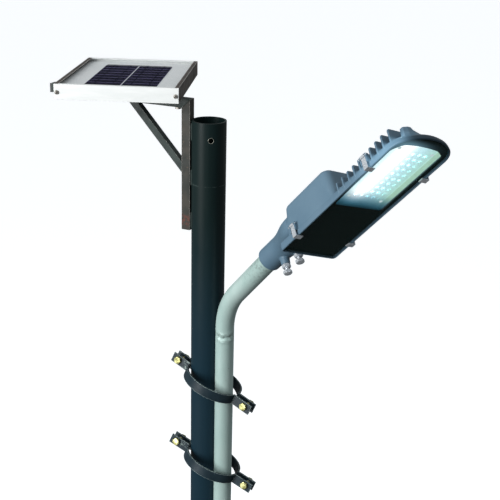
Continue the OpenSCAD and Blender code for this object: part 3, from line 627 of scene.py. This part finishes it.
def add_fins(bm):
    """Fins across the deck that rise toward the front, and the three ribs that they stand on."""
    for i in range(FIN_COUNT):
        x = FIN_START + i * FIN_PITCH
        top = -26 + 7 * i / (FIN_COUNT - 1)
        reach = x - TRAY["front_x"]
        half = TRAY["half"] + 0.6
        if reach >= 0:
            half = 19 + math.sqrt(TRAY["front_r"] ** 2 - reach ** 2) - 0.5
        side = ([(-half, -43.5), (-half, top - 3)] + ring_arc(4 - half, top - 4, 4, 180, 90, 6)
                + ring_arc(half - 4, top - 4, 4, 90, 0, 6) + [(half, top - 3), (half, -43.5)])
        rings = []
        for dx, shrink in ((-1.7, 0.8), (-1.1, 0), (1.1, 0), (1.7, 0.8)):
            rings.append([(x + dx, y * (1 - shrink / 60), z - (shrink if z > -40 else 0))
                          for y, z in side])
        skin(bm, rings)
    block(bm, (140, -9, -38), (296, 9, -29.5))
    for y in (-30, 30):
        block(bm, (150, y - 1.5, -38), (290, y + 1.5, -31))


def add_front_crest(bm):
    """The cast teeth and lugs on the front edge of the deck."""
    foot = [(294, -40), (300.5, -40.5), (304.5, -33), (306.5, -22), (307, -10), (290, -10), (284, -26)]
    crown = [(294, -39.6), (300, -40), (303.5, -33), (304, -28), (301, -24), (295, -23), (285, -27)]
    skin(bm, [lift(foot, -40), lift(crown, -26)])
    slab(bm, [(286, -6), (302, -6), (305, -1), (305, 8), (300, 15), (291, 15)], -42, -33.5)


def add_bosses(bm):
    """Bosses under the collar's bolts, and a pair of lugs for each clip's pin."""
    for x in COLLAR_BOLTS:
        rod(bm, (x, 0, -10), (x, 0, -33), 9.2, 7.4)
    for x in CLIP_X:
        for side in (-1, 1):
            for lug in (-1, 1):
                middle = x + lug * LUG_OFFSET
                low, high = sorted((side * 51.5, side * 58.5))
                block(bm, (middle - LUG_HALF, low, -43), (middle + LUG_HALF, high, -28))


def new_solid(add, *values):
    bm = bmesh.new()
    add(bm, *values)
    return bm


def prism_of(inset, low, high):
    return new_solid(slab, tray_outline(inset), low, high)


def make_casting():
    """Melts the head's forms into one skin, then cuts its seats, hollow, socket and holes."""
    bm = bmesh.new()
    for add in (add_tray, add_driver_box, add_funnel, add_fins, add_front_crest, add_bosses):
        add(bm)
    casting = make_object("head_casting", bm, HEAD)
    remesh = casting.modifiers.new("melt", "REMESH")
    remesh.mode = "VOXEL"
    remesh.voxel_size = MELT_VOXEL
    soften = casting.modifiers.new("soften", "SMOOTH")
    soften.factor = 0.5
    soften.iterations = 3
    settle(casting)
    cut(casting, prism_of(2.5, GLASS_Z - 3, SEAT_Z))
    cut(casting, prism_of(8.5, SEAT_Z - 1, DECK_Z - 3))
    hollow = bmesh.new()
    skin(hollow, [box_ring(-40, 48.5, 25, 146, 9), box_ring(6, 47, 28, 138, 10),
                  box_ring(11.5, 42, 33, 133, 9)])
    cut(casting, hollow)
    cut(casting, new_solid(rod, (COLLAR_END - 2, 0, 0), (SOCKET_FLOOR, 0, 0), SOCKET_R))
    cut(casting, new_solid(rod, (SOCKET_FLOOR - 1, 0, 0), (45, 0, 0), WIRE_WAY_R))
    for x in COLLAR_BOLTS:
        cut(casting, new_solid(rod, (x, 0, -40), (x, 0, -10), COLLAR_BOLT_R))
    thin = casting.modifiers.new("thin", "DECIMATE")
    thin.ratio = KEPT_FACES
    settle(casting)
    finish_piece(casting, cast_coat.material, "head", ["head_housing"], 40)


make_casting()

# ------------------------------------------------------------------ glass, print and light

WINDOW = [(134, -42), (272, -44), (287, -32), (291, -12), (291.5, 8), (290, 28), (281, 43), (139, 44)]
WINDOW_MIDDLE = (212, 0)
PLATE_Z = -42.6
FOLD_Y = 0.0325
LENS_PROFILE = ((0, 3.0), (0.5, 2.9), (1.0, 2.5), (1.3, 1.9), (1.5, 1.0), (1.55, 0.3))


def rounded(corners, r, count=5):
    """A closed outline with each corner cut by an arc-like bend of about r."""
    points = []
    for i, corner in enumerate(corners):
        here = Vector(corner)
        before = (Vector(corners[i - 1]) - here).normalized() * r
        after = (Vector(corners[(i + 1) % len(corners)]) - here).normalized() * r
        for step in range(count):
            t = step / (count - 1)
            points.append(tuple(here + before * (1 - t) ** 2 + after * t ** 2))
    return points


def seen_from(outline, centre, count=144):
    """Points of an outline at even angles around a centre."""
    points = []
    for i in range(count):
        ray = Vector((math.cos(TAU * i / count), math.sin(TAU * i / count)))
        best = None
        for a, b in zip(outline, outline[1:] + outline[:1]):
            a, b = Vector(a) - Vector(centre), Vector(b) - Vector(centre)
            edge = b - a
            span = ray.x * edge.y - ray.y * edge.x
            if abs(span) < 1e-9:
                continue
            along = (a.x * edge.y - a.y * edge.x) / span
            share = (a.x * ray.y - a.y * ray.x) / span
            if along > 0 and -1e-6 <= share <= 1 + 1e-6:
                best = along if best is None else max(best, along)
        points.append((centre[0] + ray.x * best, centre[1] + ray.y * best))
    return points


def make_glass():
    """The cover glass, and the printed border on its inner face with the window left open."""
    bm = bmesh.new()
    skin(bm, [lift(tray_outline(inset), z)
              for z, inset in ((GLASS_Z, 3.9), (GLASS_Z + 0.8, 3.1), (-46.8, 3.1), (-46.1, 3.6))])
    glass = make_clear_glass("cover_glass", (0.01, 0.035, 0.03), 0.75)
    finish_piece(make_object("cover_pane", bm, HEAD), glass, "head", ["glass_cover"])
    inner = seen_from(rounded(WINDOW, 4), WINDOW_MIDDLE)
    outer = seen_from(tray_outline(3.3), WINDOW_MIDDLE)
    face, back = -46.05, -45.9
    bm = bmesh.new()
    skin(bm, [lift(outer, face), lift(inner, face), lift(inner, back), lift(outer, back)], loop=True)
    finish_piece(make_object("cover_print", bm, HEAD), make_print_black(), "head")


def make_print_black():
    """Gloss black print, with a painted glow beside the lit row for the light that the glass carries
    into it.
    """
    s = Shade("print_black")
    x, y = in_head(s)["X"], in_head(s)["Y"]
    # Painted light: the print glows beside the lit row.
    glow = s.times(s.bell(y, -0.022, 0.03), s.steps(x, 0.15, 0.2),
                   s.steps(x, 0.286, 0.306, 1.0, 0.0), 0.55)
    tone = s.mix(s.steps(s.noise(30, 4, 0.6), 0.35, 0.65), (0.0015, 0.006, 0.006), (0.003, 0.009, 0.009))
    s.set(Base_Color=tone, Roughness=s.steps(s.noise(60, 4, 0.6), 0.3, 0.7, 0.12, 0.24),
          Emission_Color=(0.4, 0.78, 1.0, 1), Emission_Strength=glow, Specular_IOR_Level=0.1)
    return s.material


def make_light_plate():
    """The reflector plate, painted with the LEDs' light: its glow is strongest along the lit row,
    greenish beside it, dim at the rear, with a painted highlight along the fold.
    """
    s = Shade("light_plate")
    x, y = in_head(s)["X"], in_head(s)["Y"]
    core = s.bell(y, -0.02, 0.0165)
    rear = s.steps(x, 0.13, 0.182)
    side = s.mix(s.steps(y, 0.005, 0.042), (0.6, 0.93, 1.0), (0.54, 0.9, 0.78))
    skirt = s.steps(y, FOLD_Y, FOLD_Y + 0.002)
    side = s.mix(s.times(skirt, 0.8), side, (0.5, 0.8, 0.62))
    lit = s.mix(core, side, (1.0, 1.0, 0.98))
    colour = s.mix(s.steps(x, 0.135, 0.175), (0.1, 0.42, 0.62), lit)
    beside = s.times(s.steps(y, 0.008, 0.05, 1.2, 0.95),
                     s.steps(s.noise(240, 3, 0.5), 0.25, 0.75, 0.9, 1.1))
    # Painted highlight: a bright line along the reflector's fold.
    fold_glint = s.steps(s.math("ABSOLUTE", s.math("SUBTRACT", y, FOLD_Y)), 0.0, 0.0012, 1.0, 0.0)
    level = s.math("ADD", s.times(core, 1.1), s.math("ADD", beside, s.times(fold_glint, 0.35)))
    s.set(Base_Color=colour, Roughness=0.35, Emission_Color=colour,
          Emission_Strength=s.times(level, s.math("ADD", rear, 0.06)))
    bm = bmesh.new()
    slab(bm, rounded([(124, -44.3), (297, -44.3), (297, 44.3), (124, 44.3)], 6), PLATE_Z, -41.4)
    finish_piece(make_object("light_plate", bm, HEAD), s.material,
                 "head", ["reflector"])


def make_lenses():
    """Small lens domes over the chips."""
    bm = bmesh.new()
    for i in range(10):
        for j in range(5):
            x, y = 162 + i * 12, (j - 2) * 11
            skin(bm, [circle_ring((x, y, PLATE_Z - h), (0, 0, 1), r, 20) for h, r in LENS_PROFILE])
    s = Shade("lens_clear")
    s.set(Base_Color=(0.8, 0.95, 0.92, 1), Roughness=0.25, Alpha=0.1)
    finish_piece(make_object("led_lenses", bm, HEAD), s.material, "head", (), 60)


make_glass()
make_light_plate()
make_lenses()

# ------------------------------------------------------------------ the swept arm

ARM_R, ARM_WALL = 16.85, 2.6
ARM_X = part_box("arm_tube")[0].x / MM + ARM_R
ARM_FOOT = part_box("arm_tube")[0].z / MM
ARM_END = -8
BEND_R = 115


def arm_path():
    """Centre points and turning angles of the arm, from its foot round the bend into the collar."""
    turn = math.pi / 2 - ARM_RISE
    corner = (HEAD_ORIGIN.z - (HEAD_ORIGIN.x - ARM_X * MM) * math.tan(ARM_RISE)) / MM
    start = corner - BEND_R * math.tan(turn / 2)
    crimp = TOP_MM - CRIMP_DROP
    levels = [ARM_FOOT + (crimp - 24 - ARM_FOOT) * i / 6 for i in range(6)]
    levels += [crimp - 24 + i * 0.9 for i in range(int((start - crimp + 24) / 0.9))]
    path = [(ARM_X, z, 0.0) for z in levels]
    for i in range(37):
        a = turn * i / 36
        path.append((ARM_X + BEND_R * (1 - math.cos(a)), start + BEND_R * math.sin(a), a))
    x, z, a = path[-1]
    end = HEAD_ORIGIN / MM + ARM_END * HEAD_AXIS
    for i in range(1, 13):
        path.append((x + (end.x - x) * i / 12, z + (end.z - z) * i / 12, a))
    return path, crimp


def crimp_depth(z, turn, crimp):
    """How far the tube's skin is pushed in where the bending tool has pinched it."""
    side = max(math.cos(turn - math.radians(-48)), 0) ** 1.5
    wave = 1.5 * math.sin(3 * turn + 1) + 0.8 * math.sin(7 * turn)
    offset = z - crimp - wave
    return side * (1.9 * math.exp(-(offset / 3.0) ** 2) - 0.9 * math.exp(-((offset - 7) / 3.2) ** 2)
                   - 0.7 * math.exp(-((offset + 7) / 3.4) ** 2)
                   + 0.35 * math.sin(offset * 1.1 + 5 * turn) * math.exp(-(offset / 9) ** 2))


def make_arm():
    """The arm's tube, open at both ends, as one skin that runs up outside and down inside."""
    path, crimp = arm_path()
    count = 72
    rings = []
    for inner in (False, True):
        for x, z, a in (reversed(path) if inner else path):
            ring = []
            for i in range(count):
                turn = TAU * i / count
                push = crimp_depth(z, turn, crimp) if a == 0 else 0
                r = ARM_R - push - (ARM_WALL if inner else 0)
                across = r * math.cos(turn)
                ring.append((x + across * math.cos(a), r * math.sin(turn), z - across * math.sin(a)))
            rings.append(ring)
    bm = bmesh.new()
    skin(bm, rings, loop=True)
    finish_piece(make_object("arm_sweep", bm), arm_coat.material,
                 "arm", ["arm_tube"], 50)


make_arm()

# ------------------------------------------------------------------ bolts and nuts


def islands(node):
    """The separate solids of a CAD node, each as points in millimetres."""
    bm = bmesh.new()
    bm.from_mesh(frame["nodes"][node].data)
    bmesh.ops.remove_doubles(bm, verts=bm.verts, dist=1e-6)
    left = set(bm.verts)
    groups = []
    while left:
        seed = left.pop()
        group, front = [seed.co / MM], [seed]
        while front:
            for edge in front.pop().link_edges:
                for vert in edge.verts:
                    if vert in left:
                        left.remove(vert)
                        front.append(vert)
                        group.append(vert.co / MM)
        groups.append(group)
    bm.free()
    groups.sort(key=lambda g: (round(g[0].z), round(g[0].x)))
    return groups


def own_axis(points):
    """A turned solid's centre and axis, from how its points are spread."""
    cloud = numpy.array([tuple(p) for p in points])
    centre = cloud.mean(axis=0)
    spread, axes = numpy.linalg.eigh(numpy.cov((cloud - centre).T))
    odd = 0 if spread[1] - spread[0] > spread[2] - spread[1] else 2
    return Vector(centre), Vector(axes[:, odd]).normalized()


def hex_rings(centre, axis, toward, flats, levels):
    """Rings of a chamfered hexagon: each level is a height and the radius its corners are turned to."""
    side = (toward - toward.dot(axis) * axis).normalized()
    up = axis.cross(side)
    rings = []
    for height, limit in levels:
        ring = []
        for i in range(72):
            turn = TAU * i / 72
            corner = (turn + math.pi / 6) % (math.pi / 3) - math.pi / 6
            r = min(limit, flats / math.cos(math.pi / 6 - abs(corner)))
            ring.append(centre + height * axis + r * (math.cos(turn) * side + math.sin(turn) * up))
        rings.append(ring)
    return rings


def hex_body(bm, centre, axis, toward, low, high, corner, both=False):
    """A hexagon with its corners turned off at the high end, or at both."""
    flats = corner * math.cos(math.pi / 6)
    cut_in = 0.16 * flats
    levels = [(low, 0.94 * flats), (low + cut_in, corner)] if both else [(low, corner)]
    levels += [(high - cut_in, corner), (high - 0.45 * cut_in, 0.5 * (corner + flats)),
               (high, 0.94 * flats)]
    skin(bm, hex_rings(centre, axis, toward, flats, levels))


def threaded(bm, centre, axis, r, low, high, pitch):
    """A shank with thread ridges and a chamfered end."""
    side = axis.orthogonal().normalized()
    up = axis.cross(side)
    turns = int((high - low - 1) / pitch)
    levels = [(low, r)]
    for i in range(turns):
        levels += [(low + (i + share) * pitch, r - depth * pitch)
                   for share, depth in ((0.1, 0), (0.45, 0.55), (0.6, 0.55), (0.95, 0))]
    levels += [(high - 0.6, r), (high, r - 0.7)]
    skin(bm, [[centre + t * axis + rr * (math.cos(TAU * i / 24) * side + math.sin(TAU * i / 24) * up)
               for i in range(24)] for t, rr in levels])


def measure(points, share):
    """A fastener's centre, axis, point heights and radii, and the heights of its widest points."""
    centre, axis = own_axis(points)
    along = [(p - centre).dot(axis) for p in points]
    out = [((p - centre) - t * axis).length for p, t in zip(points, along)]
    widest = max(out)
    return centre, axis, along, out, widest, [t for t, r in zip(along, out) if r > share * widest]


def head_up(axis, head, low, high):
    """Turns a fastener's measures, where needed, so that its head is at the high end."""
    if abs(min(head) - low) < abs(max(head) - high):
        return -axis, [-t for t in head], -high, -low
    return axis, head, low, high


def make_fasteners(node, shade, body, pitch=1.25):
    """Chamfered hex heads on threaded shanks, or nuts, in place of a node's plain ones."""
    bm = bmesh.new()
    for points in islands(node):
        centre, axis, along, out, widest, head = measure(points, 0.97)
        toward = points[out.index(widest)] - centre
        low, high = min(along), max(along)
        if max(head) - min(head) > 0.9 * (high - low):
            hex_body(bm, centre, axis, toward, low, high, widest, True)
            continue
        axis, head, low, high = head_up(axis, head, low, high)
        shank = max(r for t, r in zip(along, out) if r < 0.75 * widest)
        hex_body(bm, centre, axis, toward, min(head), high, widest)
        threaded(bm, centre, axis, shank, low, min(head) + 0.3, pitch)
    finish_piece(make_object(node + "_cut", bm), shade.material, body, [node], 30)


def make_screws(node, shade, body):
    """Domed cross-slot screws in place of a node's plain ones."""
    bm = bmesh.new()
    knife = bmesh.new()
    for points in islands(node):
        centre, axis, along, out, widest, head = measure(points, 0.9)
        axis, head, low, high = head_up(axis, head, min(along), max(along))
        shank = min(r for t, r in zip(along, out) if r > 0.5)
        base, rise = min(head), high - min(head)
        profile = [(low, 0.3 * shank), (low + shank, shank), (base, shank),
                   (base, widest), (base + 0.25 * rise, widest)]
        profile += [(base + rise * (0.25 + 0.75 * math.sin(a)), widest * math.cos(a) + 0.05)
                    for a in (0.3, 0.6, 0.9, 1.2, 1.45)]
        skin(bm, [circle_ring(centre + t * axis, axis, r, 40) for t, r in profile])
        side = axis.orthogonal().normalized()
        up = axis.cross(side)
        for arm, thin in ((side, up), (up, side)):
            half, edge = 0.62 * widest * arm, 0.16 * widest * thin
            skin(knife, [[centre + (base + t) * axis + a * half + b * edge
                          for a, b in ((-1, -1), (1, -1), (1, 1), (-1, 1))]
                         for t in (0.35 * rise, 2 * rise)])
    screws = make_object(node + "_cut", bm)
    cut(screws, knife)
    finish_piece(screws, shade.material, body, [node], 30)


def make_grid_lines():
    """Printed silver lines along the long edges and the middle of every cell."""
    bm = bmesh.new()
    for points in islands("solar_cells"):
        level = max(p.z for p in points)
        corners = [p for p in points if p.z > level - 0.1][:4]
        first = corners[0]
        near, far = sorted(corners[1:], key=lambda p: (p - first).length)[:2]
        along, width = far - first, (near - first).normalized() * 0.9
        middle = sum(corners, Vector()) / 4 - along / 2
        for base, start, end, top in ((first, width * 0.2, width * 1.2, 0.1),
                                      (near, -width * 0.2, -width * 1.2, 0.1),
                                      (middle, -width * 0.25, width * 0.25, 0.06)):
            ring = [base + start, base + start + along, base + end + along, base + end]
            skin(bm, [[Vector((p.x, p.y, level + z)) for p in ring] for z in (0.005, top)])
    shade = surface("grid_print", [(0.1, 0.09, 0.2), (0.16, 0.14, 0.3)], 0.5, edge=0.00005, specular=0.1)
    finish_piece(make_object("cell_grid", bm), shade.material, "pole")


make_grid_lines()
make_screws("frame_screws", dull_screw, "pole")
make_fasteners("clamp_bolts", yellow_zinc, "clamps")
make_fasteners("clamp_nuts", yellow_zinc, "clamps")
make_fasteners("collar_bolts", stainless, "head")
make_fasteners("collar_nuts", stainless, "head")
make_fasteners("panel_bolts", dull_screw, "pole", 0.8)
make_fasteners("panel_nuts", dull_screw, "pole")

# ------------------------------------------------------------------ welds and burrs

BAR, BRACE_BAR, BRACE_REACH, BRACE_DROP = 16, 12.7, 143, 87
GUSSET_T = 5
BASE_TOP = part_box("base_plate")[1].z / MM
WIRE_HOLE_R, WIRE_HOLE_TURN, WIRE_HOLE_DROP = 4.5, math.radians(-35.4), 29
WELD_STEP = 0.45
BRACKET = Matrix.Rotation(math.radians(202.4), 4, "Z") @ Matrix.Translation((0, 6 * MM, 0))


def weld(bm, points, r, seed=0.0):
    """A rippled bead along a line of points."""
    samples = []
    for a, b in zip(points, points[1:]):
        a, b = Vector(a), Vector(b)
        steps = max(int((b - a).length / WELD_STEP), 2)
        samples += [a.lerp(b, i / steps) for i in range(steps)]
    samples.append(Vector(points[-1]))
    rings = []
    for i, here in enumerate(samples):
        ahead = (samples[min(i + 1, len(samples) - 1)] - samples[max(i - 1, 0)]).normalized()
        end = min(i, len(samples) - 1 - i)
        swell = r * (0.78 + 0.2 * abs(math.sin(i * 0.62 + seed)) + 0.06 * math.sin(i * 0.17 + 3 * seed))
        rings.append(circle_ring(here, ahead, swell * min(1, 0.45 + 0.2 * end), 14))
    for ring, after in zip(rings, rings[1:]):
        if (ring[0] - after[0]).length > (ring[0] - after[7]).length:
            after[:] = after[7:] + after[:7]
    skin(bm, rings)


def make_base_welds():
    """Beads round the pole's foot and along both sides of each gusset."""
    bm = bmesh.new()
    weld(bm, lift(ring_arc(0, 0, POLE_R_MM + 0.8, 0, 359, 90), BASE_TOP + 0.8), 2.6)
    for k in range(4):
        turn = Matrix.Rotation(k * math.pi / 2, 3, "Z")
        for side in (-1, 1):
            edge = side * (GUSSET_T / 2 + 0.4)
            for a, b, seed in (((3, 0.4), (48, 0.4), k + side), ((0.2, 5), (0.2, 86), 2 * k + side)):
                weld(bm, [turn @ Vector((POLE_R_MM + out, edge, BASE_TOP + up)) for out, up in (a, b)],
                     1.9, seed)
    finish_piece(make_object("base_welds", bm), pole_paint.material, "pole", (), 60)


def make_bracket_welds():
    """Beads between pole and upright, round the brace's ends, and at the upright's mitre."""
    bm = bmesh.new()
    low, high = (corner.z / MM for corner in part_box("bracket_upright"))
    for side, reach in ((-1, -0.35), (1, -3.6)):
        for start, end in ((low + 6, low + 34), (low + 84, low + 112), (TOP_MM - 36, TOP_MM - 6)):
            weld(bm, [(POLE_R_MM + reach, side * BAR / 2 + 0.3 * side, z) for z in (start, end)],
                 1.7, start)
    foot = POLE_R_MM + BAR
    brace = BRACE_BAR / 2
    for z in (TOP_MM - BRACE_DROP - 10.4, TOP_MM - BRACE_DROP + 10.4):
        weld(bm, [(foot + 0.3, -brace, z), (foot + 0.3, brace, z)], 1.5, z)
    for x in (BRACE_REACH - 8.6, BRACE_REACH + 8.6):
        weld(bm, [(x, -brace, high - BAR - 0.3), (x, brace, high - BAR - 0.3)], 1.5, x)
    for side in (-1, 1):
        weld(bm, [(foot - 0.4, side * BAR / 2, high - BAR + 0.6),
                  (POLE_R_MM + 0.6, side * BAR / 2, high - 0.8)], 0.9, side)
    finish_piece(make_object("bracket_welds", bm, BRACKET), rail_paint.material,
                 "pole", (), 60)


def make_hole_burr():
    """The bright burr round the wire hole, bent to the pole's skin."""
    bm = bmesh.new()
    rings = []
    for i in range(48):
        turn = TAU * i / 48
        ring = []
        for j in range(10):
            roll = TAU * j / 10
            ragged = 0.3 + 0.07 * math.sin(5 * turn) + 0.05 * math.sin(11 * turn + 1)
            r = WIRE_HOLE_R + 0.25 + ragged * math.cos(roll)
            across, rise = r * math.cos(turn), ragged * math.sin(roll)
            around_pole = WIRE_HOLE_TURN + across / POLE_R_MM
            out = POLE_R_MM + 0.05 + rise
            ring.append((out * math.cos(around_pole), out * math.sin(around_pole),
                         TOP_MM - WIRE_HOLE_DROP + r * math.sin(turn)))
        rings.append(ring)
    skin(bm, rings, loop=True)
    burr = surface("burr", [(0.4, 0.4, 0.34), (0.55, 0.54, 0.48)], 0.4, metallic=0.6)
    finish_piece(make_object("wire_hole_burr", bm), burr.material, "pole", (), 60)


make_base_welds()
make_bracket_welds()
make_hole_burr()
